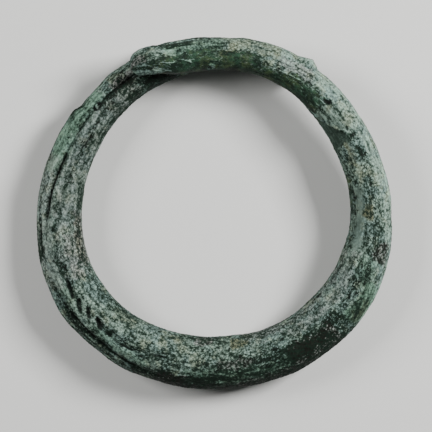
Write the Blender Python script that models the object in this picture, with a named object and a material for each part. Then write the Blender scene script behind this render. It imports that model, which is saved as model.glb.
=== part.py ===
"""A coiled bronze bracelet of one solid bar, lying on its side.

The bar is thickest opposite its ends and tapers towards both. It is bent into a little more than one
turn, so that its upper end lies over its lower one. Metres, +Z up. The bracelet lies on the plane z = 0,
with the origin under the middle of its outline.
"""

from math import cos, degrees, pi, radians, sin, sqrt

import bmesh
import bpy
from mathutils import Vector

MM = 0.001

# The ring and the bar, at the bar's thickest
RING_RADIUS = 36.1 * MM
BAR_WIDTH = 12.2 * MM
BAR_HEIGHT = 11.0 * MM
COIL_GAP = 0.4 * MM

# Angles round the ring are in degrees, from +X towards +Y, and run on past 360 along the bar
LOWER_END = 57.0
UPPER_END = 479.8
LOWER_END_ROUNDING = 3.2 * MM
UPPER_END_ROUNDING = 1.7 * MM
CLIMB_START = 296.0

# The bar's course from its lower end to its upper one. Each row holds the angle, the distance of the bar's
# middle from the ring's centre as a share of RING_RADIUS, and the bar's width as a share of BAR_WIDTH.
COURSE = (
    (57, 1.057, 0.480),
    (75, 1.034, 0.570),
    (90, 1.028, 0.620),
    (105, 1.026, 0.670),
    (120, 1.018, 0.730),
    (150, 0.995, 0.785),
    (180, 1.008, 0.845),
    (212, 1.024, 0.950),
    (228, 1.004, 0.950),
    (240, 0.990, 0.990),
    (256, 0.970, 1.000),
    (275, 0.961, 0.985),
    (300, 0.976, 0.985),
    (330, 0.992, 0.945),
    (345, 0.997, 0.875),
    (360, 0.992, 0.780),
    (385, 0.984, 0.735),
    (396, 0.986, 0.730),
    (406, 0.998, 0.690),
    (420, 1.017, 0.645),
    (440, 1.023, 0.630),
    (450, 1.009, 0.590),
    (465, 1.013, 0.580),
    (472, 1.051, 0.560),
    (477, 1.076, 0.520),
    (479.8, 1.080, 0.460),
)

# The three places where the worn underside rests, and how far it arches clear between them
REST_ANGLES = (88.0, 190.0, 292.0)
REST_ARCH = 0.8 * MM
WORN_DEPTH = 0.22 * MM

# Places round the bar's section are in degrees too: 0 faces outwards and CREST straight up
CREST = 90.0

# A lengthwise seam in the upper face, left of the ends. The rows hold its angle round the ring, its place
# round the section and its depth.
SEAM = (
    (112, 84, 0.0 * MM),
    (124, 79, 1.0 * MM),
    (150, 77, 0.9 * MM),
    (166, 70, 0.9 * MM),
    (178, 60, 0.9 * MM),
    (188, 56, 0.25 * MM),
    (206, 51, 0.25 * MM),
    (216, 51, 0.9 * MM),
    (240, 46, 0.8 * MM),
    (258, 42, 0.0 * MM),
)
SEAM_HALF_WIDTH = 12.0

# A shallower corroded line beside the seam, in the same degrees
PITTED_LINE_START = 196.0
PITTED_LINE_END = 262.0
PITTED_LINE_BESIDE_SEAM = 36.0
PITTED_LINE_DEPTH = 0.45 * MM

# The long dip in the outer edge past the upper end, with a gentle side and a steep one. It reaches from
# under the outer edge up to the seam.
DIP_GENTLE_SIDE = (126.0, 134.0)
DIP_STEEP_SIDE = (141.0, 144.8)
DIP_LOWER_SIDE = (-70.0, -20.0)
DIP_SIDE_AT_SEAM = (-15.0, 0.0)
DIP_DEPTH = 0.85 * MM

# The burr on the outer edge, over the lower end
BURR_ANGLE = 417.7
BURR_STEEP_SIDE = 3.2
BURR_GENTLE_SIDE = 4.8
BURR_PLACE = 14.0
BURR_HALF_WIDTH = 36.0
BURR_HEIGHT = 1.35 * MM

# The scoop in the upper inner face of the right half, which ends in a slanting ledge. Its upper and lower
# sides are given in degrees past the crest.
SCOOP_START = 374.0
LEDGE_AT_CREST = 391.0
LEDGE_AT_INNER_EDGE = 407.0
LEDGE_LENGTH = 2.4
SCOOP_UPPER_SIDE = (0.0, 30.0)
SCOOP_LOWER_SIDE = (60.0, 100.0)
SCOOP_DEPTH = 0.6 * MM

# Faint hammered unevenness all round, of three waves. Each row holds a wave's number of crests round the
# ring, its number round the section, and its shift in radians.
UNEVENNESS = 0.12 * MM
UNEVEN_WAVES = (
    (7, 2, 0.0),
    (11, -1, 1.3),
    (17, 0, 0.4),
)

SIDES = 40
SECTION_STEP = 3.9
CAP_RINGS = 4


def ramp(value, start, end):
    """0 before start, 1 after end, and a smooth rise between them."""
    share = min(1.0, max(0.0, (value - start) / (end - start)))
    return share * share * (3 - 2 * share)


def bell(value, middle, half_width):
    """1 at the middle, falling smoothly to 0 at half_width to either side."""
    share = min(1.0, abs(value - middle) / half_width)
    return (1 - share * share) ** 2


def along(rows, column, angle):
    """A column of rows, such as COURSE, read at an angle from the smooth curve through them."""
    angle = min(max(angle, rows[0][0]), rows[-1][0])
    after = next(i for i in range(1, len(rows)) if angle <= rows[i][0])
    here, there = rows[after - 1], rows[after]
    span = there[0] - here[0]

    def slope(i):
        low, high = rows[max(i - 1, 0)], rows[min(i + 1, len(rows) - 1)]
        return (high[column] - low[column]) / (high[0] - low[0])

    t = (angle - here[0]) / span
    return (
        (1 + 2 * t) * (1 - t) ** 2 * here[column]
        + t * (1 - t) ** 2 * span * slope(after - 1)
        + t * t * (3 - 2 * t) * there[column]
        + t * t * (t - 1) * span * slope(after)
    )


def bar_height(angle):
    """The bar's thickness standing up from the table, before its ends are rounded."""
    return along(COURSE, 2, angle) * BAR_HEIGHT


def end_rounding(angle):
    """The share of its full section that the bar has at an angle: 1, but falling to 0 round each end."""
    from_lower = radians(angle - LOWER_END) * RING_RADIUS / LOWER_END_ROUNDING
    from_upper = radians(UPPER_END - angle) * RING_RADIUS / UPPER_END_ROUNDING
    near = max(0.0, min(1.0, from_lower, from_upper))
    return sqrt(near * (2 - near))


def arch(angle):
    """How far the bar stands clear of the table between the places where it rests."""
    for low, high in zip(REST_ANGLES, REST_ANGLES[1:]):
        if low < angle < high:
            return REST_ARCH * sin(pi * (angle - low) / (high - low)) ** 2
    return 0.0


def underside(angle):
    """The height of the bar's lowest line: on the table, then climbing to pass over the lower end."""
    below = max(angle - 360, LOWER_END)
    over_lower_end = arch(below) + bar_height(below) + COIL_GAP
    return arch(angle) - WORN_DEPTH + over_lower_end * ramp(angle, CLIMB_START, LOWER_END + 360)


def past(place, start):
    """How far one place round the section lies past another, between -180 and 180 degrees."""
    return (place - start + 180) % 360 - 180


def relief(angle, place):
    """How far the surface stands proud of the plain oval section, at a place round it."""
    from_seam = past(place, along(SEAM, 1, angle))
    seam_depth = max(0.0, along(SEAM, 2, angle)) if SEAM[0][0] < angle < SEAM[-1][0] else 0.0
    height = -seam_depth * bell(from_seam, 0, SEAM_HALF_WIDTH)

    line_middle = (PITTED_LINE_START + PITTED_LINE_END) / 2
    line_share = bell(angle, line_middle, PITTED_LINE_END - line_middle)
    height -= PITTED_LINE_DEPTH * line_share * bell(from_seam, PITTED_LINE_BESIDE_SEAM, SEAM_HALF_WIDTH)

    from_outside = past(place, 0)
    outer_lobe = ramp(from_outside, *DIP_LOWER_SIDE) * (1 - ramp(from_seam, *DIP_SIDE_AT_SEAM))
    dip_share = ramp(angle, *DIP_GENTLE_SIDE) * (1 - ramp(angle, *DIP_STEEP_SIDE))
    height -= DIP_DEPTH * dip_share * outer_lobe

    burr_side = BURR_STEEP_SIDE if angle < BURR_ANGLE else BURR_GENTLE_SIDE
    burr_share = max(0.0, 1 - abs(angle - BURR_ANGLE) / burr_side)
    height += BURR_HEIGHT * burr_share * bell(from_outside, BURR_PLACE, BURR_HALF_WIDTH)

    from_crest = past(place, CREST)
    ledge = LEDGE_AT_CREST + (LEDGE_AT_INNER_EDGE - LEDGE_AT_CREST) * from_crest / CREST
    before_ledge = 1 - ramp(angle, ledge - LEDGE_LENGTH, ledge)
    inner_face = ramp(from_crest, *SCOOP_UPPER_SIDE) * (1 - ramp(from_crest, *SCOOP_LOWER_SIDE))
    height -= SCOOP_DEPTH * ramp(angle, SCOOP_START, LEDGE_AT_CREST) * before_ledge * inner_face

    waves = [sin(ring * radians(angle) + bar * radians(place) + shift) for ring, bar, shift in UNEVEN_WAVES]
    return height + UNEVENNESS * sum(waves) / len(waves)


def section_angles():
    """The angles of the bar's sections: evenly spaced between the burr, the dip and the two end caps."""
    lower_cap = degrees(LOWER_END_ROUNDING / RING_RADIUS)
    upper_cap = degrees(UPPER_END_ROUNDING / RING_RADIUS)
    rises = [1 - cos(pi / 2 * ring / CAP_RINGS) for ring in range(1, CAP_RINGS)]
    angles = [LOWER_END + lower_cap * rise for rise in rises]
    burr = [BURR_ANGLE - BURR_STEEP_SIDE, BURR_ANGLE, BURR_ANGLE + BURR_GENTLE_SIDE]
    marks = [LOWER_END + lower_cap, *DIP_GENTLE_SIDE, *DIP_STEEP_SIDE, *burr, UPPER_END - upper_cap]
    for start, end in zip(marks, marks[1:]):
        pieces = max(1, round((end - start) / SECTION_STEP))
        angles += [start + (end - start) * piece / pieces for piece in range(pieces)]
    angles.append(marks[-1])
    return angles + [UPPER_END - upper_cap * rise for rise in reversed(rises)]


def bar_point(angle, place):
    """The surface at an angle round the ring and a place round the section, worn flat at the table."""
    share = end_rounding(angle)
    half_width = along(COURSE, 2, angle) * BAR_WIDTH / 2
    half_height = bar_height(angle) / 2
    proud = relief(angle, place)
    reach = along(COURSE, 1, angle) * RING_RADIUS
    reach += share * (half_width + proud) * cos(radians(place))
    height = underside(angle) + half_height
    height += share * (half_height + proud) * sin(radians(place))
    turn = radians(angle)
    return Vector((reach * cos(turn), reach * sin(turn), max(0.0, height)))


def end_point(angle):
    """The tip of the bar at one of its ends, where the section has shrunk to a point."""
    reach = along(COURSE, 1, angle) * RING_RADIUS
    height = underside(angle) + bar_height(angle) / 2
    return Vector((reach * cos(radians(angle)), reach * sin(radians(angle)), height))


def section(angle):
    """One closed section of the bar. Its first point lies in the seam, so that the seam is a clean line."""
    first = along(SEAM, 1, angle)
    return [bar_point(angle, first + 360 * side / SIDES) for side in range(SIDES)]


def coiled_bar():
    """The whole bar as one closed mesh, centred over the origin."""
    mesh = bmesh.new()
    loops = [[mesh.verts.new(point) for point in section(angle)] for angle in section_angles()]
    for here, there in zip(loops, loops[1:]):
        for side in range(SIDES):
            next_side = (side + 1) % SIDES
            mesh.faces.new((here[side], there[side], there[next_side], here[next_side]))
    lower_tip = mesh.verts.new(end_point(LOWER_END))
    upper_tip = mesh.verts.new(end_point(UPPER_END))
    for side in range(SIDES):
        next_side = (side + 1) % SIDES
        mesh.faces.new((loops[0][next_side], lower_tip, loops[0][side]))
        mesh.faces.new((loops[-1][side], upper_tip, loops[-1][next_side]))
    for axis in range(2):
        ends = [vertex.co[axis] for vertex in mesh.verts]
        middle = (min(ends) + max(ends)) / 2
        for vertex in mesh.verts:
            vertex.co[axis] -= middle
    bmesh.ops.recalc_face_normals(mesh, faces=mesh.faces)
    return mesh


def patinated_bronze():
    """Bronze under a dull grey-green corrosion crust."""
    material = bpy.data.materials.new("patinated_bronze")
    material.use_nodes = True
    shader = material.node_tree.nodes["Principled BSDF"]
    shader.inputs["Base Color"].default_value = (0.165, 0.225, 0.180, 1)
    shader.inputs["Roughness"].default_value = 0.75
    shader.inputs["Metallic"].default_value = 0.1
    return material


for leftover in list(bpy.data.objects):
    bpy.data.objects.remove(leftover)

bracelet_mesh = bpy.data.meshes.new("coiled_bar")
built = coiled_bar()
built.to_mesh(bracelet_mesh)
built.free()
bracelet_mesh.shade_smooth()
bracelet_mesh.materials.append(patinated_bronze())
bracelet = bpy.data.objects.new("bracelet", bracelet_mesh)
bpy.context.scene.collection.objects.link(bracelet)
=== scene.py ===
from math import cos, degrees, pi, radians, sin

import bpy
import numpy as np
from mathutils import Euler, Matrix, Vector, noise


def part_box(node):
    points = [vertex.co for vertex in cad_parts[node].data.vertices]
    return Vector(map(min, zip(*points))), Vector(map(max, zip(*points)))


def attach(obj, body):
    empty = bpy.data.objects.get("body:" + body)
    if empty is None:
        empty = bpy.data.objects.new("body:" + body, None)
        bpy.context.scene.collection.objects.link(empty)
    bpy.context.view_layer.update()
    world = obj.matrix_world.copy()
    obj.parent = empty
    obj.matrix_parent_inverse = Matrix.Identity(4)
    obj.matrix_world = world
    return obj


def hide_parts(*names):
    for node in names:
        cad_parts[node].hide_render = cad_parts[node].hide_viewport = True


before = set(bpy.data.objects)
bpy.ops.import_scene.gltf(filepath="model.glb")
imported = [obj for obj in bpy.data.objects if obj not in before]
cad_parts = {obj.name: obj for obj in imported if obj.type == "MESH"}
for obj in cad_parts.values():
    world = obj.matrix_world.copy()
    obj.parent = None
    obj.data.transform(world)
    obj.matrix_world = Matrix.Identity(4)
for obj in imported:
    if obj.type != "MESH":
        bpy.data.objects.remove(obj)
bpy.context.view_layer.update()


# The bracelet: one solid bar of tin bronze, cast as a rod, hammered round and tapering, then bent into a
# little more than one turn, so that its upper end lies on its lower one. Long burial has eaten its surface
# and left a rough grey-green crust over a smooth dark patina.
MM = 0.001

# The ring and the bar, at the bar's thickest
RING_RADIUS = 36.1 * MM
BAR_WIDTH = 12.2 * MM
BAR_HEIGHT = 11.0 * MM
COIL_GAP = 0.4 * MM

# Angles round the ring are in degrees, from +X towards +Y, and run on past 360 along the bar
LOWER_END = 57.0
UPPER_END = 480.7
LOWER_END_ROUNDING = 3.2 * MM
UPPER_END_ROUNDING = 1.5 * MM
CLIMB_START = 296.0

# The bar's course. Each row holds the angle, the distance of the bar's middle from the ring's centre as a
# share of RING_RADIUS, and the bar's width as a share of BAR_WIDTH.
COURSE = (
    (57, 1.057, 0.480),
    (75, 1.034, 0.570),
    (90, 1.028, 0.620),
    (105, 1.026, 0.670),
    (120, 1.018, 0.730),
    (150, 0.995, 0.785),
    (180, 1.008, 0.845),
    (212, 1.024, 0.950),
    (228, 1.004, 0.950),
    (240, 0.990, 0.990),
    (256, 0.970, 1.000),
    (275, 0.961, 0.985),
    (300, 0.976, 0.985),
    (330, 0.992, 0.945),
    (345, 0.997, 0.875),
    (360, 0.992, 0.780),
    (385, 0.984, 0.735),
    (396, 0.986, 0.730),
    (406, 0.998, 0.690),
    (420, 1.017, 0.645),
    (440, 1.023, 0.630),
    (450, 1.009, 0.590),
    (465, 1.013, 0.580),
    (472, 1.051, 0.560),
    (477, 1.076, 0.520),
    (479.8, 1.080, 0.460),
)

# The three places where the worn underside rests, and how far it arches clear between them
REST_ANGLES = (88.0, 190.0, 292.0)
REST_ARCH = 0.8 * MM
WORN_DEPTH = 0.22 * MM

# Places round the bar's section are in degrees too: 0 faces outwards and CREST straight up
CREST = 90.0

# The lengthwise seam in the upper face. The rows hold its angle, its place round the section and its depth.
SEAM = (
    (112, 84, 0.0 * MM),
    (124, 79, 1.0 * MM),
    (150, 77, 0.9 * MM),
    (166, 70, 0.9 * MM),
    (178, 60, 0.9 * MM),
    (188, 56, 0.25 * MM),
    (206, 51, 0.25 * MM),
    (216, 51, 0.45 * MM),
    (240, 46, 0.40 * MM),
    (258, 42, 0.0 * MM),
)
SEAM_HALF_WIDTH = 12.0

# The shallower pitted line beside it
PITTED_LINE_START = 196.0
PITTED_LINE_END = 262.0
PITTED_LINE_BESIDE_SEAM = 36.0
PITTED_LINE_DEPTH = 0.45 * MM

# The long dip in the outer edge past the upper end
DIP_GENTLE_SIDE = (126.0, 134.0)
DIP_STEEP_SIDE = (141.0, 144.8)
DIP_LOWER_SIDE = (-70.0, -20.0)
DIP_SIDE_AT_SEAM = (-15.0, 0.0)
DIP_DEPTH = 0.85 * MM

# The burr on the outer edge, over the lower end
BURR_ANGLE = 417.7
BURR_STEEP_SIDE = 3.2
BURR_GENTLE_SIDE = 4.8
BURR_PLACE = 14.0
BURR_HALF_WIDTH = 36.0
BURR_HEIGHT = 1.35 * MM

# The scoop in the upper inner face, which ends in a slanting ledge
SCOOP_START = 374.0
LEDGE_AT_CREST = 391.0
LEDGE_AT_INNER_EDGE = 407.0
LEDGE_LENGTH = 2.4
SCOOP_UPPER_SIDE = (0.0, 30.0)
SCOOP_LOWER_SIDE = (60.0, 100.0)
SCOOP_DEPTH = 0.6 * MM

# Faint hammered unevenness: waves round the ring, waves round the section, and shift in radians
UNEVENNESS = 0.12 * MM
UNEVEN_WAVES = (
    (7, 2, 0.0),
    (11, -1, 1.3),
    (17, 0, 0.4),
)


def ramp(value, start, end):
    """0 before start, 1 after end, and a smooth rise between them."""
    share = np.clip((value - start) / (end - start), 0, 1)
    return share * share * (3 - 2 * share)


def bell(value, middle, half_width):
    """1 at the middle, falling smoothly to 0 at half_width to either side."""
    share = np.minimum(1, np.abs(value - middle) / half_width)
    return (1 - share * share) ** 2


def along(rows, column, angle):
    """A column of rows, such as COURSE, read at angles from the smooth curve through them."""
    marks = np.array([row[0] for row in rows], float)
    values = np.array([row[column] for row in rows], float)
    before = np.maximum(np.arange(len(rows)) - 1, 0)
    after = np.minimum(np.arange(len(rows)) + 1, len(rows) - 1)
    slopes = (values[after] - values[before]) / (marks[after] - marks[before])
    angle = np.clip(angle, marks[0], marks[-1])
    there = np.clip(np.searchsorted(marks, angle), 1, len(rows) - 1)
    here = there - 1
    span = marks[there] - marks[here]
    t = (angle - marks[here]) / span
    return (
        (1 + 2 * t) * (1 - t) ** 2 * values[here]
        + t * (1 - t) ** 2 * span * slopes[here]
        + t * t * (3 - 2 * t) * values[there]
        + t * t * (t - 1) * span * slopes[there]
    )


def past(place, start):
    """How far one place round the section lies past another, between -180 and 180 degrees."""
    return (place - start + 180) % 360 - 180


def end_rounding(angle):
    """The share of its full section that the bar has at an angle: 1, but falling to 0 round each end."""
    from_lower = np.radians(angle - LOWER_END) * RING_RADIUS / LOWER_END_ROUNDING
    from_upper = np.radians(UPPER_END - angle) * RING_RADIUS / UPPER_END_ROUNDING
    near = np.clip(np.minimum(from_lower, from_upper), 0, 1)
    return np.sqrt(near * (2 - near))


def arch(angle):
    """How far the bar stands clear of the table between the places where it rests."""
    height = np.zeros_like(angle)
    for low, high in zip(REST_ANGLES, REST_ANGLES[1:]):
        between = np.clip((angle - low) / (high - low), 0, 1)
        height += REST_ARCH * np.sin(pi * between) ** 2
    return height


def underside(angle):
    """The height of the bar's lowest line: on the table, then climbing to pass over the lower end."""
    below = np.maximum(angle - 360, LOWER_END)
    over_lower_end = arch(below) + along(COURSE, 2, below) * BAR_HEIGHT + COIL_GAP
    return arch(angle) - WORN_DEPTH + over_lower_end * ramp(angle, CLIMB_START, LOWER_END + 360)


def scooped(angle, place):
    """How fully the scoop reaches each place: 1 in its floor, 0 past the slanting ledge."""
    from_crest = past(place, CREST)
    ledge = LEDGE_AT_CREST + (LEDGE_AT_INNER_EDGE - LEDGE_AT_CREST) * from_crest / CREST
    before_ledge = 1 - ramp(angle, ledge - LEDGE_LENGTH, ledge)
    inner_face = ramp(from_crest, *SCOOP_UPPER_SIDE) * (1 - ramp(from_crest, *SCOOP_LOWER_SIDE))
    return ramp(angle, SCOOP_START, LEDGE_AT_CREST) * before_ledge * inner_face


def form(angle, place):
    """How far the bar's own forms stand proud of the plain oval section: seam, dip, burr, scoop."""
    from_seam = past(place, along(SEAM, 1, angle))
    in_seam = (angle > SEAM[0][0]) & (angle < SEAM[-1][0])
    seam_depth = np.maximum(0, along(SEAM, 2, angle)) * in_seam
    height = -seam_depth * bell(from_seam, 0, SEAM_HALF_WIDTH)

    line_middle = (PITTED_LINE_START + PITTED_LINE_END) / 2
    line_share = bell(angle, line_middle, PITTED_LINE_END - line_middle)
    height -= PITTED_LINE_DEPTH * line_share * bell(from_seam, PITTED_LINE_BESIDE_SEAM, SEAM_HALF_WIDTH)

    from_outside = past(place, 0)
    outer_lobe = ramp(from_outside, *DIP_LOWER_SIDE) * (1 - ramp(from_seam, *DIP_SIDE_AT_SEAM))
    dip_share = ramp(angle, *DIP_GENTLE_SIDE) * (1 - ramp(angle, *DIP_STEEP_SIDE))
    height -= DIP_DEPTH * dip_share * outer_lobe

    burr_side = np.where(angle < BURR_ANGLE, BURR_STEEP_SIDE, BURR_GENTLE_SIDE)
    burr_share = np.maximum(0, 1 - np.abs(angle - BURR_ANGLE) / burr_side)
    height += BURR_HEIGHT * burr_share * bell(from_outside, BURR_PLACE, BURR_HALF_WIDTH)

    height -= SCOOP_DEPTH * scooped(angle, place)

    waves = [
        np.sin(ring * np.radians(angle) + bar * np.radians(place) + shift)
        for ring, bar, shift in UNEVEN_WAVES
    ]
    return height + UNEVENNESS * sum(waves) / len(waves)


def bar_points(angle, place):
    """The bar's surface before its corrosion, at angles round the ring and places round the section."""
    share = end_rounding(angle)
    proud = form(angle, place)
    half_width = along(COURSE, 2, angle) * BAR_WIDTH / 2
    half_height = along(COURSE, 2, angle) * BAR_HEIGHT / 2
    reach = along(COURSE, 1, angle) * RING_RADIUS
    reach = reach + share * (half_width + proud) * np.cos(np.radians(place))
    height = underside(angle) + half_height + share * (half_height + proud) * np.sin(np.radians(place))
    turn = np.radians(angle)
    return np.stack([reach * np.cos(turn), reach * np.sin(turn), height], axis=-1)


# The fine mesh's sections lie close enough to carry pits half a millimetre across. Each has more points in
# its upper half, which holds the seam and the most worn crust.
SECTION_STEP = 0.275 * MM
CAP_RINGS = 9
SIDES = 96
CROWDING = 20.0

lower_cap = degrees(LOWER_END_ROUNDING / RING_RADIUS)
upper_cap = degrees(UPPER_END_ROUNDING / RING_RADIUS)
cap_rises = 1 - np.cos(pi / 2 * np.arange(1, CAP_RINGS) / CAP_RINGS)
body_start = LOWER_END + lower_cap
body_end = UPPER_END - upper_cap
body_sections = round(radians(body_end - body_start) * RING_RADIUS / SECTION_STEP)
angle = np.concatenate(
    [
        LOWER_END + lower_cap * cap_rises,
        np.linspace(body_start, body_end, body_sections),
        UPPER_END - upper_cap * cap_rises[::-1],
    ]
)[:, None]
round_section = 360 * np.arange(SIDES)[None, :] / SIDES
place = round_section + CROWDING * np.cos(np.radians(round_section))
place = np.broadcast_to(place, (len(angle), SIDES))
points = bar_points(angle, place)

# How far across the bar each point lies, from 0 at its inner edge to 1 at its outer one, and how far up,
# from -1 at its lowest line to 1 at its crest
across = (1 + np.cos(np.radians(place))) / 2
rise = np.sin(np.radians(place))

# The upper end's outer corner is worn round, and so is the strand that shows beyond it
TIP_WEAR = 1.5 * MM
TIP_WEAR_START = 466.0
TIP_WEAR_POWER = 3
STRAND_WEAR = 0.55 * MM
STRAND_WEAR_MIDDLE = 123.0
STRAND_WEAR_REACH = 12.0

tip_share = np.clip((angle - TIP_WEAR_START) / (UPPER_END - TIP_WEAR_START), 0, 1) ** TIP_WEAR_POWER
wear = TIP_WEAR * tip_share + STRAND_WEAR * bell(angle, STRAND_WEAR_MIDDLE, STRAND_WEAR_REACH)
turn = np.radians(angle)
inwards = -np.stack([np.cos(turn), np.sin(turn), np.zeros_like(turn)], axis=-1)
points = points + (wear * across)[..., None] * inwards

# The ring is centred where the frame's bracelet is
cad_low, cad_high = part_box("bracelet")
flat_middle = (points.reshape(-1, 3).min(0) + points.reshape(-1, 3).max(0)) / 2
to_frame = np.array([*((cad_low + cad_high) / 2)[:2], 0]) - flat_middle * (1, 1, 0)
points = points + to_frame

# The middle of each rounded end
tips = [bar_points(np.array([[end]]), np.zeros((1, 1)))[0, 0] for end in (LOWER_END, UPPER_END)]
tips[1] = tips[1] + wear[-1] / 2 * inwards[-1, 0]
tips = np.array(tips) + to_frame


def outward(grid):
    """The directions in which a grid of sections faces outwards."""
    lengthwise = np.gradient(grid, axis=0)
    crosswise = np.roll(grid, -1, axis=1) - np.roll(grid, 1, axis=1)
    facing = np.cross(lengthwise, crosswise)
    return facing / np.linalg.norm(facing, axis=-1, keepdims=True)


# Noise is read at turned positions, for its own lattice shows on faces that lie along the axes
TURN = (0.6, 0.4, 0.9)
turned = np.array(Euler(TURN).to_matrix())

# Each octave of noise has lumps half as wide and half as high as the one before
OCTAVE_STEP = 2.0
OCTAVE_FADE = 1.0


def lumps(spots, grain, seed, octaves):
    """Smooth noise, mostly between -1 and 1, over spots, with lumps about as wide as grain."""
    scaled = (spots.reshape(-1, 3) @ turned / grain + seed).tolist()
    values = [noise.fractal(spot, OCTAVE_FADE, OCTAVE_STEP, octaves) for spot in scaled]
    return np.array(values).reshape(spots.shape[:-1])


# A pit's radius as a share of the spacing, and how far single pits depart from it. A pit's middle, times
# the shuffle, picks its departure.
PIT_SIZE = 0.34
PIT_SIZE_SPREAD = 0.16
PIT_SIZE_SHUFFLE = 31


def pits(spots, spacing, seed):
    """Round pits of many sizes over spots, 1 at their middles, about a spacing apart."""
    depths = []
    for spot in (spots.reshape(-1, 3) @ turned / spacing + seed).tolist():
        distances, middles = noise.voronoi(spot)
        size = PIT_SIZE + PIT_SIZE_SPREAD * noise.cell(middles[0] * PIT_SIZE_SHUFFLE)
        depths.append(max(0.0, 1 - (distances[0] / size) ** 2))
    return np.array(depths).reshape(spots.shape[:-1])


# Where the surface differs from place to place is given by patches of the upper face. Each row holds a
# patch's first and last angle, its reach across the bar, and its strength. A reach past 0 or 1 takes in the
# side of the bar. The patches fade out over PATCH_ENDS degrees and PATCH_SIDES of the bar's width to either
# side of their outlines.
PATCH_ENDS = 1.0
PATCH_SIDES = 0.08

# Where the crust has come away or never grown, and the dark patina shows. The first two rows are painted
# shadow, on the lower strand under the upper end and just past it.
BARE_AND_SHADOWED_PATCHES = (
    # Painted shadow on the lower strand, under the upper end and just past it
    (106, 119, 0.00, 0.55, 0.50),
    (117, 127, 0.00, 0.50, 0.26),
    (120, 130, 0.46, 0.60, 0.52),
    (120, 134, 0.60, 0.92, 0.10),
    (125, 134, 0.05, 0.44, 0.05),
    (129, 139, 0.42, 0.60, 0.52),
    (130, 140, 0.52, 0.62, 0.50),
    (133, 137, 0.28, 0.42, 0.28),
    (138, 147, 0.26, 0.38, 0.28),
    (138, 150, 0.60, 0.70, 0.30),
    (147, 154, 0.22, 0.36, 0.58),
    (154, 170, 0.15, 0.40, 0.08),
    (165, 169, 0.28, 0.40, 0.35),
    (176, 180, 0.44, 0.54, 0.24),
    (180, 200, 0.02, 0.14, 0.21),
    (183, 196, 0.54, 0.62, 0.18),
    (195, 203, 0.46, 0.66, 0.30),
    (204, 212, 0.80, 0.90, 0.12),
    (211, 227, 0.80, 0.93, 0.31),
    (226, 246, 0.80, 0.92, 0.36),
    (228, 258, 0.48, 0.64, 0.18),
    (240, 251, 0.76, 1.00, 0.42),
    (245, 252, 0.44, 0.54, 0.30),
    (250, 260, 0.76, 1.10, 0.50),
    (260, 276, 0.68, 1.10, 0.34),
    (262, 286, 0.02, 0.18, 0.07),
    (262, 288, 0.46, 0.72, 0.22),
    (268, 276, 0.50, 0.70, 0.35),
    (276, 300, 0.60, 1.10, 0.28),
    (279, 285, 0.40, 0.60, 0.50),
    (284, 300, 0.40, 0.66, 0.36),
    (284, 291, 0.66, 0.82, 0.45),
    (284, 318, 0.92, 1.10, 0.36),
    (290, 315, 0.46, 0.84, 0.20),
    (297, 313, 0.52, 0.82, 0.46),
    (312, 317, 0.58, 0.80, 0.42),
    (313, 322, 0.44, 0.66, 0.28),
    (323, 342, 0.38, 0.62, 0.28),
    (335, 340, 0.56, 0.70, 0.50),
    (342.5, 349.5, 0.60, 0.85, 0.52),
    (348, 361, 0.42, 0.66, 0.22),
    (360, 378, 0.44, 0.66, 0.16),
    (381, 386, 0.48, 0.66, 0.85),
    (389, 394, 0.42, 0.60, 0.44),
    (403, 406, 0.43, 0.56, 0.50),
)

# Where the crust is thickest and palest. The first row is painted light, on the lower strand where the upper
# end's shadow falls.
PALE_PATCHES = (
    # Painted light, in the upper end's shadow
    (119, 126, 0.60, 0.80, 0.75),
    (120, 133, 0.66, 0.97, 0.32),
    (129, 136, 0.22, 0.40, 0.35),
    (132, 166, 0.66, 0.97, 0.52),
    (134, 158, 0.10, 0.60, 0.38),
    (159, 166, 0.20, 0.40, 0.35),
    (160, 182, 0.10, 0.60, 0.14),
    (165, 182, 0.66, 0.95, 0.46),
    (179, 184, 0.40, 0.60, 0.38),
    (180, 204, 0.66, 0.95, 0.60),
    (182, 206, 0.14, 0.50, 0.35),
    (204, 211, 0.82, 1.10, 0.40),
    (204, 250, 0.62, 0.78, 0.50),
    (204, 226, 0.20, 0.48, 0.35),
    (222, 262, 0.12, 0.42, 0.25),
    (258, 268, 0.56, 0.66, 0.40),
    (258, 300, 0.14, 0.44, 0.20),
    (298, 320, 0.05, 0.40, 0.15),
    (318, 346, 0.05, 0.40, 0.40),
    (318, 352, 0.93, 1.10, 0.55),
    (320, 345, 0.36, 0.66, 0.40),
    (322, 360, 0.66, 1.00, 0.25),
    (346, 361, 0.66, 1.00, 0.40),
    (348, 361, 0.34, 0.66, 0.22),
    (358, 372, 0.10, 0.28, 0.40),
    (360, 406, 0.66, 1.10, 0.72),
    (360, 389, 0.24, 0.66, 0.32),
    (391, 396, 0.46, 0.64, 0.40),
    (394, 402, 0.30, 0.54, 0.16),
    (394, 402, 0.84, 1.10, 0.90),
    (398, 410, 0.00, 0.50, 0.42),
    (398, 406, 0.62, 0.82, 0.85),
    (403, 432, 0.52, 1.10, 0.70),
    (414, 428, 0.39, 0.90, 0.30),
    (419, 431, 0.38, 0.60, 0.60),
    (427, 446, 0.64, 1.10, 0.55),
    (445, 448.5, 0.28, 0.42, 0.50),
    (458.5, 463, 0.24, 0.46, 0.40),
    (464, 472, 0.12, 0.90, 0.62),
    (465, 470, 0.48, 0.82, 0.60),
    (468, 481, -0.10, 0.20, 1.00),
    (474, 481, 0.86, 1.10, 0.80),
    (475, 481, 0.48, 0.76, 0.30),
)

# Where there is smooth, compact dark green patina and little crust
COMPACT_PATCHES = (
    (320, 326, 0.78, 0.94, 0.40),
    (360, 376, -0.10, 0.12, 0.50),
    (405, 422, -0.10, 0.50, 0.80),
    (412, 430, -0.10, 0.36, 0.90),
    (428, 435, -0.10, 0.40, 0.60),
    (434, 450, -0.10, 0.58, 0.88),
    (450, 454, 0.30, 0.72, 0.80),
    (453, 460, -0.10, 0.72, 0.95),
    (460, 470, -0.10, 0.60, 0.95),
    (466, 481, 0.22, 0.45, 0.55),
)

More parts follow.
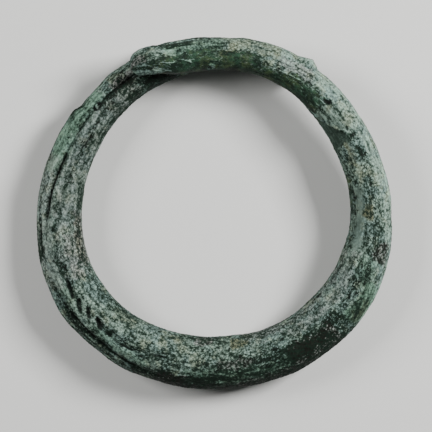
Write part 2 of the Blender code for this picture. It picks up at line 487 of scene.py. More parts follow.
# Where the crust is light green malachite
MALACHITE_PATCHES = (
    (134, 166, 0.66, 0.97, 0.80),
    (135, 161, 0.50, 0.70, 0.45),
    (180, 212, 0.60, 0.86, 0.30),
    (222, 245, 0.60, 0.80, 0.40),
    (258, 300, 0.60, 1.00, 0.50),
    (321, 336, 0.66, 0.97, 0.90),
    (336, 345, 0.40, 0.80, 0.40),
    (406, 422, 0.10, 0.50, 0.50),
    (448, 468, 0.30, 1.10, 0.50),
    (449, 454, 0.12, 0.32, 0.90),
)

# Where brown earth clings
EARTH_PATCHES = (
    (180, 202, 0.02, 0.18, 0.38),
    (223, 235, 0.06, 0.24, 0.35),
    (249, 256, 0.02, 0.20, 0.50),
    (276, 284, 0.06, 0.24, 0.70),
    (321, 330, 0.78, 0.97, 0.50),
    (358, 363, 0.32, 0.52, 0.70),
    (364, 368, 0.42, 0.60, 0.50),
    (371, 376, 0.26, 0.44, 0.50),
    (379, 389, 0.18, 0.40, 0.50),
    (406, 432, 0.06, 0.40, 0.15),
    (428, 446, 0.60, 1.10, 0.40),
    (436, 456, 0.20, 0.60, 0.30),
    (442, 449, 0.40, 0.62, 0.80),
    (462, 468, 0.42, 0.60, 0.50),
)

# Where the crust is ashen, with a trace of pink
ASHEN_PATCHES = (
    (120, 130, 0.46, 0.76, 0.90),
    (121, 137, -0.10, 0.50, 0.50),
    (136, 206, -0.10, 0.62, 0.42),
    (160, 206, 0.60, 1.10, 0.45),
    (178, 202, -0.10, 0.20, 0.70),
    (188, 206, 0.14, 0.42, 0.60),
    (220, 226, 0.44, 0.56, 0.60),
    (249, 260, 0.76, 1.10, 1.00),
    (260, 268, 0.00, 0.14, 0.80),
    (270, 284, 0.44, 0.62, 0.60),
    (276, 298, 0.84, 1.10, 0.80),
    (283, 300, -0.10, 0.20, 0.50),
    (298, 316, 0.50, 1.10, 0.80),
    (298, 345, 0.00, 0.14, 0.50),
    (300, 345, 0.14, 0.40, 0.45),
    (342, 350, 0.62, 0.92, 0.60),
    (414, 428, 0.45, 0.85, 0.48),
    (474, 481, 0.45, 0.80, 0.80),
)

# Where handling has worn the crust smooth and grey
WORN_PATCHES = (
    (134, 160, 0.70, 0.95, 0.30),
    (318, 345, 0.10, 0.34, 0.40),
    (345, 371, 0.12, 0.30, 0.90),
)

# Where the crust is thin and the dark patina dims it, and where shade is painted: the first row is painted
# shadow under the upper end, and the rows at the inner edge, reaching below 0 across, are painted shade on
# that side
DIM_AND_SHADED_PATCHES = (
    # Painted shadow under the upper end
    (106, 120, 0.00, 0.55, 0.10),
    # Painted shade on the inner edge, here and in the other rows that reach below 0 across
    (119, 128, -0.10, 0.20, 0.10),
    (127, 137, -0.10, 0.16, 0.10),
    (136, 150, -0.10, 0.16, 0.11),
    (139, 147, 0.82, 1.10, 0.18),
    (166, 177, -0.10, 0.16, 0.08),
    (184, 196, 0.84, 1.10, 0.22),
    (222, 234, -0.10, 0.16, 0.10),
    (224, 230, 0.60, 0.80, 0.14),
    (249, 261, 0.74, 1.10, 0.14),
    (256, 272, -0.10, 0.16, 0.06),
    (258, 300, 0.66, 1.10, 0.10),
    (264, 270, 0.60, 0.80, 0.16),
    (283, 300, -0.10, 0.18, 0.08),
    (284, 322, 0.90, 1.10, 0.22),
    (290, 313, 0.50, 0.84, 0.08),
    (298, 313, 0.54, 0.80, 0.44),
    (301, 315, 0.78, 0.94, 0.24),
    (316, 327, 0.56, 0.94, 0.10),
    (364, 371, 0.22, 0.36, 0.12),
    (404, 411, 0.18, 0.42, 0.14),
    (414, 421, 0.60, 0.82, 0.14),
    (449.5, 454, 0.10, 0.34, 0.12),
    (458, 470, 0.82, 1.10, 0.28),
    (469, 476, 0.20, 0.42, 0.26),
    (474, 481, 0.20, 1.10, 0.08),
)

# Where the crust is compact and evenly coloured
EVEN_PATCHES = (
    (121, 182, -0.10, 0.60, 0.50),
    (226, 246, 0.74, 0.96, 0.50),
    (345, 371, 0.10, 0.32, 0.90),
    (391, 404, 0.06, 0.66, 0.70),
    (449, 454, 0.10, 0.34, 1.00),
    (470, 481, 0.60, 1.10, 0.40),
)

# Where the thin crust is broken into fine light specks on a dark ground
SPECKLED_PATCHES = (
    (299, 321, 0.48, 0.84, 1.00),
)

# The patches' outlines are ragged, and the more so on the sides of the bar, which lie below SIDE_RISES. The
# patches fade out downwards over UPPER_FACE_RISES.
RAGGED_GRAIN = 2.6 * MM
RAGGED_DEGREES = 1.6
SIDE_RAGGED_GRAIN = 4.5 * MM
SIDE_RAGGED_DEGREES = 9.0
SIDE_RISES = (0.05, 0.5)
RAGGED_ACROSS_GRAIN = 1.8 * MM
RAGGED_ACROSS = 0.10
UPPER_FACE_RISES = (-0.3, 0.1)

side_share = 1 - ramp(rise, *SIDE_RISES)
side_lumps = lumps(points, SIDE_RAGGED_GRAIN, seed=31.0, octaves=3)
ragged_angle = angle + RAGGED_DEGREES * lumps(points, RAGGED_GRAIN, seed=11.0, octaves=3)
ragged_angle = ragged_angle + SIDE_RAGGED_DEGREES * side_share * side_lumps
ragged_across = across + RAGGED_ACROSS * lumps(points, RAGGED_ACROSS_GRAIN, seed=23.0, octaves=3)
upper_face = ramp(rise, *UPPER_FACE_RISES)


def covered(rows):
    """How strongly patches cover each point, with ragged outlines."""
    cover = np.zeros(across.shape)
    for first, last, inner, outer, strength in rows:
        lengthwise = ramp(ragged_angle, first - PATCH_ENDS, first + PATCH_ENDS)
        lengthwise = lengthwise * (1 - ramp(ragged_angle, last - PATCH_ENDS, last + PATCH_ENDS))
        crosswise = ramp(ragged_across, inner - PATCH_SIDES, inner + PATCH_SIDES)
        crosswise = crosswise * (1 - ramp(ragged_across, outer - PATCH_SIDES, outer + PATCH_SIDES))
        cover = np.maximum(cover, strength * lengthwise * crosswise)
    return cover * upper_face


# Fine streaks along the bar, from hammering and wear. Their noise is read on the bar's surface unrolled.
STREAK_LENGTH = 6.0 * MM
STREAK_WIDTH = 0.75 * MM

along_bar = np.radians(angle) * RING_RADIUS / STREAK_LENGTH * np.ones(place.shape)
round_bar = np.radians(place) * BAR_WIDTH / 2 / STREAK_WIDTH
unrolled = np.stack([along_bar, round_bar, np.zeros(place.shape)], axis=-1)
streaks = lumps(unrolled, grain=1.0, seed=61.0, octaves=3)

# The crust breaks off in flecks, closer together in places a few millimetres wide. The share of the surface
# that is bare is BARE_ALL_OVER and what the bare patches add, with the shadow that some of them paint.
# Compact patina bares more of it, and the other kinds of crust cover more.
BARE_ALL_OVER = 0.07
BARED_BY_COMPACT = 0.9
CRUST_PLATE = 2.4 * MM
PLATE_SHARE = 0.10
STREAK_SHARE = 0.08
COVERED_BY_PALE = 0.1
COVERED_BY_WORN = 0.1
COVERED_BY_MALACHITE = 0.12
COVERED_BY_EVEN = 0.08
BARE_LEAST = 0.01
BARE_MOST = 0.97

bare_and_shadowed = covered(BARE_AND_SHADOWED_PATCHES)
pale = covered(PALE_PATCHES)
worn = covered(WORN_PATCHES)
malachite = covered(MALACHITE_PATCHES)
compact = covered(COMPACT_PATCHES)
even = covered(EVEN_PATCHES)
plates = lumps(points, CRUST_PLATE, seed=41.0, octaves=3)
bare_and_shadowed_share = BARE_ALL_OVER + bare_and_shadowed + BARED_BY_COMPACT * compact + PLATE_SHARE * plates
bare_and_shadowed_share = bare_and_shadowed_share + STREAK_SHARE * streaks
bare_and_shadowed_share = bare_and_shadowed_share - COVERED_BY_PALE * pale - COVERED_BY_WORN * worn
bare_and_shadowed_share = bare_and_shadowed_share - COVERED_BY_MALACHITE * malachite - COVERED_BY_EVEN * even
bare_and_shadowed_share = np.clip(bare_and_shadowed_share, BARE_LEAST, BARE_MOST)

# The floor of the scoop has flaked off near the ledge, where the scoop is more than shallow
FLAKED_START = 386.0
FLAKED_FULLY = 390.0
FLAKED_SCOOP_SHARES = (0.08, 0.30)

scoop = ramp(scooped(ragged_angle, place), *FLAKED_SCOOP_SHARES)
scoop = ramp(ragged_angle, FLAKED_START, FLAKED_FULLY) * scoop

# Slots, most of them on the pitted line. Each row holds a slot's angle, half its length in degrees, its
# place round the section at its middle, how far that place moves with each degree of its length, half its
# width in degrees, and its depth. A slot is the top of a longer, wider and deeper bell, cut off at the
# slot's depth, which makes its floor flat.
SLOTS = (
    (152, 3.0, 113, -1.5, 4.5, 0.25 * MM),
    (187, 8.0, 36, 0.0, 2.5, 0.30 * MM),
    (199, 2.4, 84, 3.0, 3.5, 0.20 * MM),
    (207, 3.6, 81, -1.2, 5.5, 0.50 * MM),
    (214, 2.6, 80, -2.6, 6.0, 0.50 * MM),
    (218, 2.0, 85, -3.4, 5.5, 0.45 * MM),
    (223.5, 3.2, 84, -3.2, 6.0, 0.50 * MM),
    (229, 3.0, 80, 0.5, 3.5, 0.25 * MM),
    (236, 4.5, 78, 0.4, 3.0, 0.32 * MM),
    (248, 3.5, 90, 0.0, 3.0, 0.25 * MM),
    (404.5, 1.8, 88, 0.0, 7.0, 0.35 * MM),
)
SLOT_BELL_LENGTH = 1.3
SLOT_BELL_WIDTH = 1.4
SLOT_BELL_HEIGHT = 1.6

# A fissure runs in the seam, with gaps. The rows hold its angle and how open it is.
FISSURE = (
    (112, 0.3),
    (124, 0.2),
    (134, 0.2),
    (142, 0.1),
    (156, 0.2),
    (166, 0.9),
    (180, 1.0),
    (182.5, 0.1),
    (206, 0.2),
    (216, 0.9),
    (240, 0.8),
    (258, 0.0),
)
FISSURE_HALF_WIDTH = 4.4
FISSURE_DEPTH = 0.15 * MM
FISSURE_GAPS = (-0.9, 0.1)

# Slots and fissure wander to either side of their courses, by these degrees round the section
WANDER_GRAIN = 1.5 * MM
SLOT_WANDER = 2.5
FISSURE_WANDER = 1.5

wander = lumps(points, WANDER_GRAIN, seed=53.0, octaves=2)
from_seam = past(place + FISSURE_WANDER * wander, along(SEAM, 1, angle))
seam_share = along(FISSURE, 1, angle) * ((angle > SEAM[0][0]) & (angle < SEAM[-1][0]))
fissure = seam_share * bell(from_seam, 0, FISSURE_HALF_WIDTH) * ramp(wander, *FISSURE_GAPS)
slot_depth = np.zeros(across.shape)
for middle, half_length, slot_place, slant, half_width, depth in SLOTS:
    lengthwise = bell(ragged_angle, middle, half_length * SLOT_BELL_LENGTH)
    slot_line = slot_place + slant * (angle - middle)
    crosswise = bell(place + SLOT_WANDER * wander, slot_line, half_width * SLOT_BELL_WIDTH)
    slot_share = np.minimum(1, SLOT_BELL_HEIGHT * lengthwise * crosswise)
    slot_depth = np.maximum(slot_depth, depth * slot_share)

# A small crater beside the seam, a ring round a pale middle
CRATER_ANGLE = 138.0
CRATER_PLACE = 79.0
CRATER_RADIUS = 0.85 * MM
CRATER_RING = 0.55 * MM
CRATER_DEPTH = 0.35 * MM
CRATER_PALENESS = 1.5
BAR_WIDTH_AT_CRATER = 0.8 * BAR_WIDTH

crater_along = np.radians(angle - CRATER_ANGLE) * RING_RADIUS
crater_round = np.radians(past(place, CRATER_PLACE)) * BAR_WIDTH_AT_CRATER / 2
from_crater = np.hypot(crater_along, crater_round)
crater = bell(from_crater, CRATER_RADIUS, CRATER_RING)
inside_crater = ramp(CRATER_RADIUS + CRATER_RING - from_crater, 0, CRATER_RING)
pale = np.maximum(pale, CRATER_PALENESS * inside_crater)
fissure = fissure * (1 - inside_crater)
slot_depth = np.maximum(slot_depth, CRATER_DEPTH * crater)

# Single fine lines, rims and scratches. Each row holds a line's first and last angle, its place across the
# bar at each, half its width, and how much crust it carries: less than none is a dark scratch.
LINES = (
    (150, 166, 0.93, 0.90, 0.25 * MM, -0.4),
    (168, 178, 0.90, 0.93, 0.25 * MM, -0.5),
    (178, 190, 0.97, 0.97, 0.30 * MM, 0.8),
    (181, 197, 0.90, 0.88, 0.28 * MM, -0.5),
    (183, 197, 0.56, 0.60, 0.25 * MM, -0.35),
    (196, 205, 0.92, 0.86, 0.30 * MM, -0.5),
    (205, 212, 0.84, 0.88, 0.35 * MM, -0.5),
    (210, 220, 0.96, 0.96, 0.30 * MM, 0.6),
    (211, 216, 0.86, 0.82, 0.45 * MM, -0.8),
    (216, 226, 0.90, 0.85, 0.40 * MM, -0.8),
    (218, 229, 0.95, 0.92, 0.25 * MM, -0.5),
    (222, 240, 0.89, 0.88, 0.28 * MM, 0.6),
    (228, 246, 0.78, 0.72, 0.25 * MM, -0.4),
    (232, 250, 0.66, 0.62, 0.25 * MM, -0.4),
    (256, 264, 0.78, 0.70, 0.30 * MM, 0.7),
    (262, 274, 0.66, 0.70, 0.28 * MM, 0.7),
    (268, 290, 0.86, 0.90, 0.25 * MM, 0.4),
    (278, 296, 0.62, 0.68, 0.28 * MM, -0.5),
    (284, 300, 0.76, 0.82, 0.25 * MM, 0.4),
    (294, 308, 0.60, 0.70, 0.22 * MM, 0.5),
    (300, 314, 0.80, 0.72, 0.22 * MM, 0.45),
    (304, 316, 0.88, 0.84, 0.22 * MM, 0.45),
    (318, 352, 0.965, 0.975, 0.28 * MM, 0.7),
    (318, 342, 0.05, 0.10, 0.28 * MM, -0.4),
    (322, 336, 0.45, 0.55, 0.28 * MM, -0.5),
    (330, 343, 0.52, 0.60, 0.28 * MM, -0.6),
    (358, 372, 0.11, 0.10, 0.35 * MM, -0.7),
    (390.5, 401, 0.56, 0.06, 0.30 * MM, 0.9),
    (403.5, 407, 0.42, 0.40, 0.25 * MM, 0.8),
    (414, 428, 0.44, 0.36, 0.30 * MM, 0.6),
    (442, 450, 0.46, 0.60, 0.30 * MM, -0.6),
    (458.5, 463, 0.22, 0.46, 0.30 * MM, 0.9),
    (465, 469.5, 0.40, 0.36, 0.30 * MM, 1.0),
    (468, 472, 0.10, 0.20, 0.30 * MM, 1.0),
    (468, 476, 0.70, 0.60, 0.40 * MM, -0.6),
    (471.5, 479, 0.20, 0.44, 0.30 * MM, 0.9),
    (474, 479.6, 0.97, 0.90, 0.35 * MM, 0.9),
)
LINE_FADE = 1.5
LINE_WANDER = 0.12 * MM
LIGHT_LINE_COVERS = 0.9
LIGHT_LINE_PALENESS = 1.3
DARK_LINE_BARES = 0.5
DARK_LINE_DEPTH = 0.12 * MM

light_lines = np.zeros(across.shape)
dark_lines = np.zeros(across.shape)
for first, last, first_across, last_across, half_width, crust in LINES:
    gone = np.clip((ragged_angle - first) / (last - first), 0, 1)
    middle_across = first_across + (last_across - first_across) * gone
    aside = (across - middle_across) * along(COURSE, 2, angle) * BAR_WIDTH
    line = bell(aside + LINE_WANDER * wander, 0, half_width)
    line = line * ramp(ragged_angle, first - LINE_FADE, first + LINE_FADE)
    line = line * (1 - ramp(ragged_angle, last - LINE_FADE, last + LINE_FADE)) * upper_face
    light_lines = np.maximum(light_lines, crust * line)
    dark_lines = np.maximum(dark_lines, -crust * line)

bare_and_shadowed_share = bare_and_shadowed_share * (1 - LIGHT_LINE_COVERS * light_lines) + DARK_LINE_BARES * dark_lines
bare_and_shadowed_share = np.clip(bare_and_shadowed_share, BARE_LEAST, BARE_MOST)
pale = np.maximum(pale, LIGHT_LINE_PALENESS * light_lines)
bare_and_shadowed = bare_and_shadowed * (1 - light_lines)
slot_depth = np.maximum(slot_depth, DARK_LINE_DEPTH * dark_lines)

# Broad lumps from hammering and corrosion, then the crust, which stands higher where less of it is gone,
# then streaks, pits and the crust's own grain
BROAD_LUMP = 6.5 * MM
BROAD_HEIGHT = 0.16 * MM
CRUST_HEIGHT = 0.12 * MM
CRUST_LEVEL = 0.4
STREAK_HEIGHT = 0.05 * MM
PIT_SPACING = 1.15 * MM
PIT_DEPTH = 0.18 * MM
GRAIN = 0.55 * MM
GRAIN_HEIGHT = 0.10 * MM

# Pits come in clusters and where the surface is bare. Worn and compact patina has fewer, and less grain.
PITS_ALL_OVER = 0.3
PIT_CLUSTER = 5 * MM
PITS_IN_CLUSTERS = 0.6
PITS_WHERE_BARE = 0.9
PIT_RANGE = (0.15, 0.9)
PITS_WORN_AWAY = 0.8
PITS_LESS_IN_COMPACT = 0.6
GRAIN_WORN_AWAY = 0.75
GRAIN_LESS_IN_COMPACT = 0.5

# The two strands have rubbed each other smooth: the upper one underneath, from the first angles, and the
# lower one on top, up to the others. The rises say where a strand faces the other.
UPPER_RUBBED_FROM = (402.0, 414.0)
LOWER_RUBBED_TO = (116.0, 124.0)
RUBBED_RISES = (0.0, 0.6)
RUBBED_AWAY = 0.8

pit_clusters = lumps(points, PIT_CLUSTER, seed=71.0, octaves=2)
pit_share = PITS_ALL_OVER + PITS_IN_CLUSTERS * pit_clusters + PITS_WHERE_BARE * bare_and_shadowed
pit_share = ramp(pit_share, *PIT_RANGE)
pit_share = pit_share * (1 - PITS_WORN_AWAY * worn) * (1 - PITS_LESS_IN_COMPACT * compact)
grain_share = (1 - GRAIN_WORN_AWAY * worn) * (1 - GRAIN_LESS_IN_COMPACT * compact)
rubbed = ramp(angle, *UPPER_RUBBED_FROM) * ramp(-rise, *RUBBED_RISES)
rubbed = rubbed + (1 - ramp(angle, *LOWER_RUBBED_TO)) * ramp(rise, *RUBBED_RISES)
fine = BROAD_HEIGHT * lumps(points, BROAD_LUMP, seed=83.0, octaves=2)
fine = fine - CRUST_HEIGHT * (bare_and_shadowed_share - CRUST_LEVEL)
fine = fine + STREAK_HEIGHT * streaks * grain_share
fine = fine - PIT_DEPTH * pit_share * pits(points, PIT_SPACING, seed=97.0)
fine = fine + GRAIN_HEIGHT * grain_share * lumps(points, GRAIN, seed=101.0, octaves=2)
fine = fine * (1 - RUBBED_AWAY * rubbed)
fine = fine - FISSURE_DEPTH * fissure - slot_depth
fine = fine * end_rounding(angle)

# No part of the relief reaches below the table
directions = outward(points)
surface = points + directions * fine[..., None]
surface[..., 2] = np.maximum(surface[..., 2], 0)

# Painted shade, with the dirt that lies there, darkens a point that lies below the surface about it, which is
# the mean over this many sections and then this many points of a section to either side
AROUND_SECTIONS = 4
AROUND_POINTS = 3
SHADE_AND_DIRT_DEPTHS = (0.07 * MM, 0.40 * MM)

lowered = form(angle, place) + fine
around = lowered
for axis, reach in ((0, AROUND_SECTIONS), (1, AROUND_POINTS)):
    around = sum(np.roll(around, step, axis=axis) for step in range(-reach, reach + 1)) / (2 * reach + 1)
cavity = ramp(around - lowered, *SHADE_AND_DIRT_DEPTHS)

sections = len(angle)
vertices = np.concatenate([surface.reshape(-1, 3), tips])
lower_tip = sections * SIDES
upper_tip = lower_tip + 1
corner = np.arange(sections * SIDES).reshape(sections, SIDES)
next_corner = np.roll(corner, -1, axis=1)
quads = np.stack([corner[:-1], corner[1:], next_corner[1:], next_corner[:-1]], axis=-1).reshape(-1, 4)
lower_fan = [(int(b), lower_tip, int(a)) for a, b in zip(corner[0], next_corner[0])]
upper_fan = [(int(a), upper_tip, int(b)) for a, b in zip(corner[-1], next_corner[-1])]
bar_mesh = bpy.data.meshes.new("corroded_bar")
bar_mesh.from_pydata(vertices.tolist(), [], quads.tolist() + lower_fan + upper_fan)
bar_mesh.shade_smooth()
bar = bpy.data.objects.new("bronze_bar", bar_mesh)
bpy.context.scene.collection.objects.link(bar)


# Where the noise that the flecks are cut from reaches the limit, the crust is whole. The limit for a bare
# share follows from how far that noise spreads about its middle.
NOISE_MIDDLE = 0.5
FLECK_SPREAD = 0.055

# How far bareness, and the shadow painted as bareness, dims the crust, how far even crust softens its specks
# and speckled crust sharpens them, and how far painted shade and dirt darken the fissure, the slots and the
# dark lines, which malachite keeps off
BARE_AND_SHADOWED_DIMS = 0.24
EVENNESS_SOFTENS = 0.65
SPECKLING_SHARPENS = 0.6
SHADE_AND_DIRT_IN_FISSURE = 0.5
MALACHITE_KEEPS_OFF = 0.4
SLOT_FULL_OF_SHADE_AND_DIRT = 0.42 * MM
SHADE_AND_DIRT_IN_DARK_LINES = 0.3

calm = np.clip(np.maximum(np.maximum(malachite, compact), even), 0, 1)
# The hollows, the fissure, the slots and the dark lines get painted shade along with their dirt
hollow_shade_and_dirt = (cavity + SHADE_AND_DIRT_IN_FISSURE * fissure) * (1 - MALACHITE_KEEPS_OFF * malachite)
hollow_shade_and_dirt = hollow_shade_and_dirt + slot_depth / SLOT_FULL_OF_SHADE_AND_DIRT + SHADE_AND_DIRT_IN_DARK_LINES * dark_lines

# What the bar's mesh keeps for each of its points, for the material to read, with 0 at the two tips
marks = {
    "fleck_limit": NOISE_MIDDLE + FLECK_SPREAD * np.log(bare_and_shadowed_share / (1 - bare_and_shadowed_share)),
    "pale": pale,
    "malachite": malachite,
    # Dimness carries the painted shadow under the upper end and the painted shade on the inner edge too
    "dimness": BARE_AND_SHADOWED_DIMS * bare_and_shadowed + covered(DIM_AND_SHADED_PATCHES),
    "crispness": 1 - EVENNESS_SOFTENS * calm + SPECKLING_SHARPENS * covered(SPECKLED_PATCHES),
    "scoop": scoop,
    "earth": covered(EARTH_PATCHES),
    "worn": worn,
    "compact": compact,
    "ashen": covered(ASHEN_PATCHES),
    "streak": streaks,
    # Painted shade and dirt in the hollows, the fissure, the slots and the dark lines
    "cavity": np.clip(hollow_shade_and_dirt, 0, 1),
}
for name, values in marks.items():
    column = bar_mesh.attributes.new(name, "FLOAT", "POINT")
    column.data.foreach_set("value", np.append(values.reshape(-1), (0, 0)).astype(np.float32))

# The bar as if straightened, for patterns that are drawn out along it
section_size = end_rounding(angle) * along(COURSE, 2, angle) * BAR_WIDTH / 2
straight = np.stack(
    [
        np.radians(angle) * RING_RADIUS * np.ones(place.shape),
        section_size * np.cos(np.radians(place)),
        section_size * rise,
    ],
    axis=-1,
)
straight_tips = [(radians(end) * RING_RADIUS, 0, 0) for end in (LOWER_END, UPPER_END)]
straight = np.concatenate([straight.reshape(-1, 3), straight_tips])
column = bar_mesh.attributes.new("straightened", "FLOAT_VECTOR", "POINT")
column.data.foreach_set("vector", straight.reshape(-1).astype(np.float32))


def linear(hex_colour):
    """An sRGB hex colour as linear red, green, blue and an alpha of 1."""
    channels = [int(hex_colour[start:start + 2], 16) / 255 for start in (1, 3, 5)]
    return (*(c / 12.92 if c <= 0.04045 else ((c + 0.055) / 1.055) ** 2.4 for c in channels), 1)


def add(tree, kind, settings, inputs):
    """Adds a node with its settings, and with a value or a link on each named or numbered input."""
    node = tree.nodes.new(kind)
    for name, value in settings.items():
        setattr(node, name, value)
    for name, value in inputs.items():
        if isinstance(value, bpy.types.NodeSocket):
            tree.links.new(value, node.inputs[name])
        else:
            node.inputs[name].default_value = value
    return node


# Patinated tin bronze. What shows is its minerals and not the metal, so the shader isn't metallic: a compact
# dark patina, nearly black to deep green and faintly glossy, and over it a powdery grey-green crust, broken
# into specks and plates, that scatters light and has no gloss. Both reflect less than a smooth mineral
# would, because their pores hold the light.
DARK_PATINA = "#07120b"
DEEP_GREEN = "#2b4335"
BROWN_PATINA = "#14140e"
GREEN_PATINA = "#15231a"
GREEN_MOTTLE = "#47573a"
TEAL_MOTTLE = "#345440"
CRUST_SHADE = "#15241b"
CRUST_LIGHT = "#84998c"
CRUST_PALEST = "#a2c8b1"
BLUE_CRUST = "#788e87"
WARM_CRUST = "#8b9985"
MALACHITE = "#83a991"
EARTH = "#7c7a59"
ASH = "#94928f"
WORN_CRUST = "#687a70"
FLAKED_PATINA = "#334239"
# Near black, for the painted shade and the dirt in the hollows, the fissure, the slots and the dark lines
SHADE_AND_DIRT = "#040a06"
PATINA_ROUGHNESS = 0.58
CRUST_ROUGHNESS = 0.95
SPECULAR_LEVEL = 0.14

# How wide the lumps of each pattern are. The real specks are about 0.1 mm wide and the powder's grains under
# 0.05 mm. The render shows nothing that fine, so both are drawn as coarse as they need to show.
SPECK = 0.22 * MM
FLECK = 0.40 * MM
GRANULE = 0.62 * MM
MOTTLE = 1.25 * MM
TINT = 3.2 * MM
CLOUD = 6.0 * MM
POWDER = 0.16 * MM
DRAWN_OUT = 1.7
NOISE_ROUGHNESS = 0.6

patina = bpy.data.materials.new("patinated_bronze")
patina.use_nodes = True
tree = patina.node_tree
shader = tree.nodes["Principled BSDF"]
shader.inputs["Specular IOR Level"].default_value = SPECULAR_LEVEL

pattern = {}
for name in marks:
    pattern[name] = add(tree, "ShaderNodeAttribute", {"attribute_name": name}, {}).outputs["Fac"]

spot = add(tree, "ShaderNodeTexCoord", {}, {}).outputs["Object"]
spot = add(tree, "ShaderNodeMapping", {}, {"Vector": spot, "Rotation": TURN}).outputs[0]
drawn = add(tree, "ShaderNodeAttribute", {"attribute_name": "straightened"}, {}).outputs["Vector"]
inputs = {"Vector": drawn, "Rotation": TURN, "Scale": (1 / DRAWN_OUT, 1, 1)}
drawn = add(tree, "ShaderNodeMapping", {}, inputs).outputs[0]

# The noises, each from 0 to 1. Each row holds a noise's name, where it is read, which is drawn out along the
# bar or not, how wide its lumps are, and how many finer layers it has.
noises = (
    ("speck", drawn, SPECK, 3.0),
    ("fleck", drawn, FLECK, 4.0),
    ("mottle", drawn, MOTTLE, 4.0),
    ("tint", spot, TINT, 3.0),
    ("cloud", spot, CLOUD, 3.0),
    ("powder", spot, POWDER, 1.0),
)
for name, where, size, layers in noises:
    inputs = {"Vector": where, "Scale": 1 / size, "Detail": layers, "Roughness": NOISE_ROUGHNESS}
    pattern[name] = add(tree, "ShaderNodeTexNoise", {}, inputs).outputs[0]
inputs = {"Vector": spot, "Scale": 1 / GRANULE}
pattern["granule"] = add(tree, "ShaderNodeTexVoronoi", {}, inputs).outputs["Distance"]

# Patterns made of others. Each row holds a new pattern's name, the pattern or number that it starts from, and
# what is added to that, each with its weight, which may be a pattern too.
MIXTURES = (
    ("crusted places", "fleck", (("fleck_limit", -1.0),)),
    ("patina mottling", "mottle", (("speck", 0.8),)),
    ("green mottling", "mottle", (("speck", 0.5), ("cloud", 0.3))),
    ("green places", "compact", (("cloud", 0.5), ("mottle", 0.5))),
    ("malachite places", "malachite", (("mottle", 0.5),)),
    ("ashen places", "ashen", (("mottle", 0.5),)),
    ("earthy places", "earth", (("mottle", 0.8),)),
    ("speckle", -0.375, (("speck", 1.25), ("granule", -0.5))),
    ("lightness of grain", 0.51, (("mottle", 0.78), ("speckle", "crispness"))),
    ("lightness", "lightness of grain", (("pale", 0.24), ("streak", 0.18), ("dimness", -1.0))),
)
for name, start, additions in MIXTURES:
    mixture = pattern.get(start, start)
    for added, weight in additions:
        inputs = {0: pattern[added], 1: pattern.get(weight, weight), 2: mixture}
        mixture = add(tree, "ShaderNodeMath", {"operation": "MULTIPLY_ADD"}, inputs).outputs[0]
    pattern[name] = mixture

# The colours, laid over each other. Each row holds the new colour's name, the pattern that the upper colour
# follows, the values of the pattern between which it comes in, how much it covers at most, and the lower
# and the upper colour, which are hex values or colours named above.
LAYERS = (
    ("mottled green", "tint", 0.42, 0.60, 1.0, TEAL_MOTTLE, GREEN_MOTTLE),
    ("green patina", "green mottling", 0.75, 1.17, 1.0, GREEN_PATINA, "mottled green"),
    ("dark patina", "patina mottling", 0.84, 1.16, 1.0, DARK_PATINA, DEEP_GREEN),
    ("browned patina", "ashen", 0.10, 0.80, 0.8, "dark patina", BROWN_PATINA),
    ("patina", "green places", 0.60, 1.20, 1.0, "browned patina", "green patina"),
    ("cool crust", "cloud", 0.42, 0.58, 1.0, BLUE_CRUST, CRUST_LIGHT),
    ("warmed crust", "tint", 0.50, 0.68, 1.0, "cool crust", WARM_CRUST),
    ("greened crust", "malachite places", 0.30, 1.10, 0.8, "warmed crust", MALACHITE),
    ("ashen crust", "ashen places", 0.40, 1.10, 0.8, "greened crust", ASH),
    ("earthy crust", "earthy places", 0.50, 1.20, 0.8, "ashen crust", EARTH),
    ("shaded crust", "lightness", 0.70, 1.30, 1.0, CRUST_SHADE, "earthy crust"),
    ("lit crust", "lightness", 1.10, 1.70, 1.0, "shaded crust", CRUST_PALEST),
    ("worn crust", "worn", 0.20, 1.00, 0.6, "lit crust", WORN_CRUST),
    ("crusted patina", "crusted places", -0.02, 0.03, 1.0, "patina", "worn crust"),
    ("flaked scoop", "scoop", 0.30, 0.80, 0.8, "crusted patina", FLAKED_PATINA),
    # Painted shade and dirt darken the hollows, the fissure, the slots and the dark lines
    ("shaded dirty bronze", "cavity", 0.15, 0.95, 0.92, "flaked scoop", SHADE_AND_DIRT),
)
# A mix node's sockets for colours come after its sockets for values and vectors
MIX_FACTOR = 0
MIX_LOWER = 6
MIX_UPPER = 7
MIX_RESULT = 2

smooth_rise = {"interpolation_type": "SMOOTHSTEP"}
share = {}
colour = {}
for name, followed, low, high, most, lower, upper in LAYERS:
    inputs = {"Value": pattern[followed], "From Min": low, "From Max": high, "To Max": most}
    share[name] = add(tree, "ShaderNodeMapRange", smooth_rise, inputs).outputs[0]
    inputs = {MIX_FACTOR: share[name]}
    for socket, tone in ((MIX_LOWER, lower), (MIX_UPPER, upper)):
        inputs[socket] = colour[tone] if tone in colour else linear(tone)
    colour[name] = add(tree, "ShaderNodeMix", {"data_type": "RGBA"}, inputs).outputs[MIX_RESULT]
tree.links.new(colour["shaded dirty bronze"], shader.inputs["Base Color"])

inputs = {"Value": share["crusted patina"], "To Min": PATINA_ROUGHNESS, "To Max": CRUST_ROUGHNESS}
roughness = add(tree, "ShaderNodeMapRange", smooth_rise, inputs).outputs[0]
tree.links.new(roughness, shader.inputs["Roughness"])

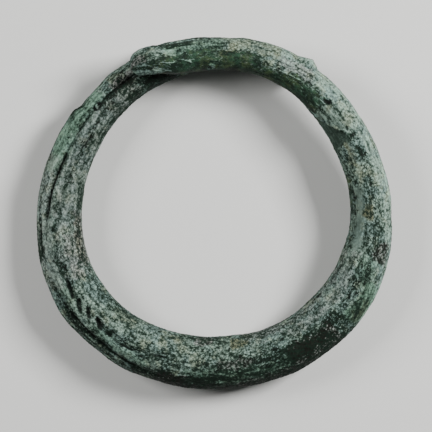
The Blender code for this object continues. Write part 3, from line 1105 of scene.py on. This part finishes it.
# The crust stands proud of the patina, and its specks and powder stand proud of it. Granules are 0 at their
# middles, so less of them is higher.
CRUST_EDGE_HEIGHT = 0.085 * MM
RELIEF_PARTS = (
    ("speck", 1.6),
    ("granule", -0.8),
    ("powder", 0.4),
)
relief = share["crusted patina"]
for name, weight in RELIEF_PARTS:
    inputs = {0: pattern[name], 1: weight, 2: relief}
    relief = add(tree, "ShaderNodeMath", {"operation": "MULTIPLY_ADD"}, inputs).outputs[0]
inputs = {"Strength": 1.0, "Distance": CRUST_EDGE_HEIGHT, "Height": relief}
bump = add(tree, "ShaderNodeBump", {}, inputs).outputs[0]
tree.links.new(bump, shader.inputs["Normal"])

bar_mesh.materials.append(patina)
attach(bar, "root")
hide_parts("bracelet")


# The floor: a board that reaches past the picture on all sides, under a coat of matt off-white paint. It
# lies a hair below the bracelet, so that no two faces fall together.
FLOOR_SIDE = 3.0
FLOOR_DROP = 0.02 * MM
OFF_WHITE_PAINT = "#e2e2df"
MATT_ROUGHNESS = 0.9

half = FLOOR_SIDE / 2
floor_mesh = bpy.data.meshes.new("painted_board")
floor_corners = [(x, y, -FLOOR_DROP) for x, y in ((-half, -half), (half, -half), (half, half), (-half, half))]
floor_mesh.from_pydata(floor_corners, [], [(0, 1, 2, 3)])
board = bpy.data.objects.new("painted_board", floor_mesh)
bpy.context.scene.collection.objects.link(board)
paint = bpy.data.materials.new("matt_paint")
paint.use_nodes = True
painted = paint.node_tree.nodes["Principled BSDF"]
painted.inputs["Base Color"].default_value = linear(OFF_WHITE_PAINT)
painted.inputs["Roughness"].default_value = MATT_ROUGHNESS
floor_mesh.materials.append(paint)


# The light: a soft box high at the upper right, a weaker and wider one at the upper left, and faint light
# all round from the studio's walls
AMBIENT_STRENGTH = 0.05


def soft_box(name, azimuth, elevation, distance, size, power):
    """A square soft box that faces the bracelet from an azimuth round it and an elevation above it."""
    lamp = bpy.data.lights.new(name, "AREA")
    lamp.size = size
    lamp.energy = power
    stand = bpy.data.objects.new(name, lamp)
    level = cos(radians(elevation))
    way = Vector((level * cos(radians(azimuth)), level * sin(radians(azimuth)), sin(radians(elevation))))
    stand.location = way * distance
    stand.rotation_euler = way.to_track_quat("Z", "Y").to_euler()
    bpy.context.scene.collection.objects.link(stand)


soft_box("key_soft_box", azimuth=24, elevation=38, distance=0.60, size=0.20, power=6.2)
soft_box("fill_soft_box", azimuth=162, elevation=38, distance=0.70, size=0.30, power=3.8)
world = bpy.data.worlds.new("studio")
world.use_nodes = True
background = world.node_tree.nodes["Background"]
background.inputs["Color"].default_value = (1, 1, 1, 1)
background.inputs["Strength"].default_value = AMBIENT_STRENGTH
bpy.context.scene.world = world


# The camera: straight above the ring, a long way off for its size, as the photograph was taken. At
# FRAME_LEVEL above the table its picture is FRAME_WIDTH wide.
CAMERA_HEIGHT = 600 * MM
SENSOR = 36.0
FRAME_WIDTH = 100.05 * MM
FRAME_LEVEL = 6.0 * MM
RING_RIGHT_OF_MIDDLE = -0.44 * MM
RING_ABOVE_MIDDLE = 0.72 * MM

lens = bpy.data.cameras.new("camera")
lens.sensor_width = SENSOR
lens.lens = SENSOR * (CAMERA_HEIGHT - FRAME_LEVEL) / FRAME_WIDTH
camera = bpy.data.objects.new("camera", lens)
camera.location = (-RING_RIGHT_OF_MIDDLE, -RING_ABOVE_MIDDLE, CAMERA_HEIGHT)
bpy.context.scene.collection.objects.link(camera)
bpy.context.scene.camera = camera
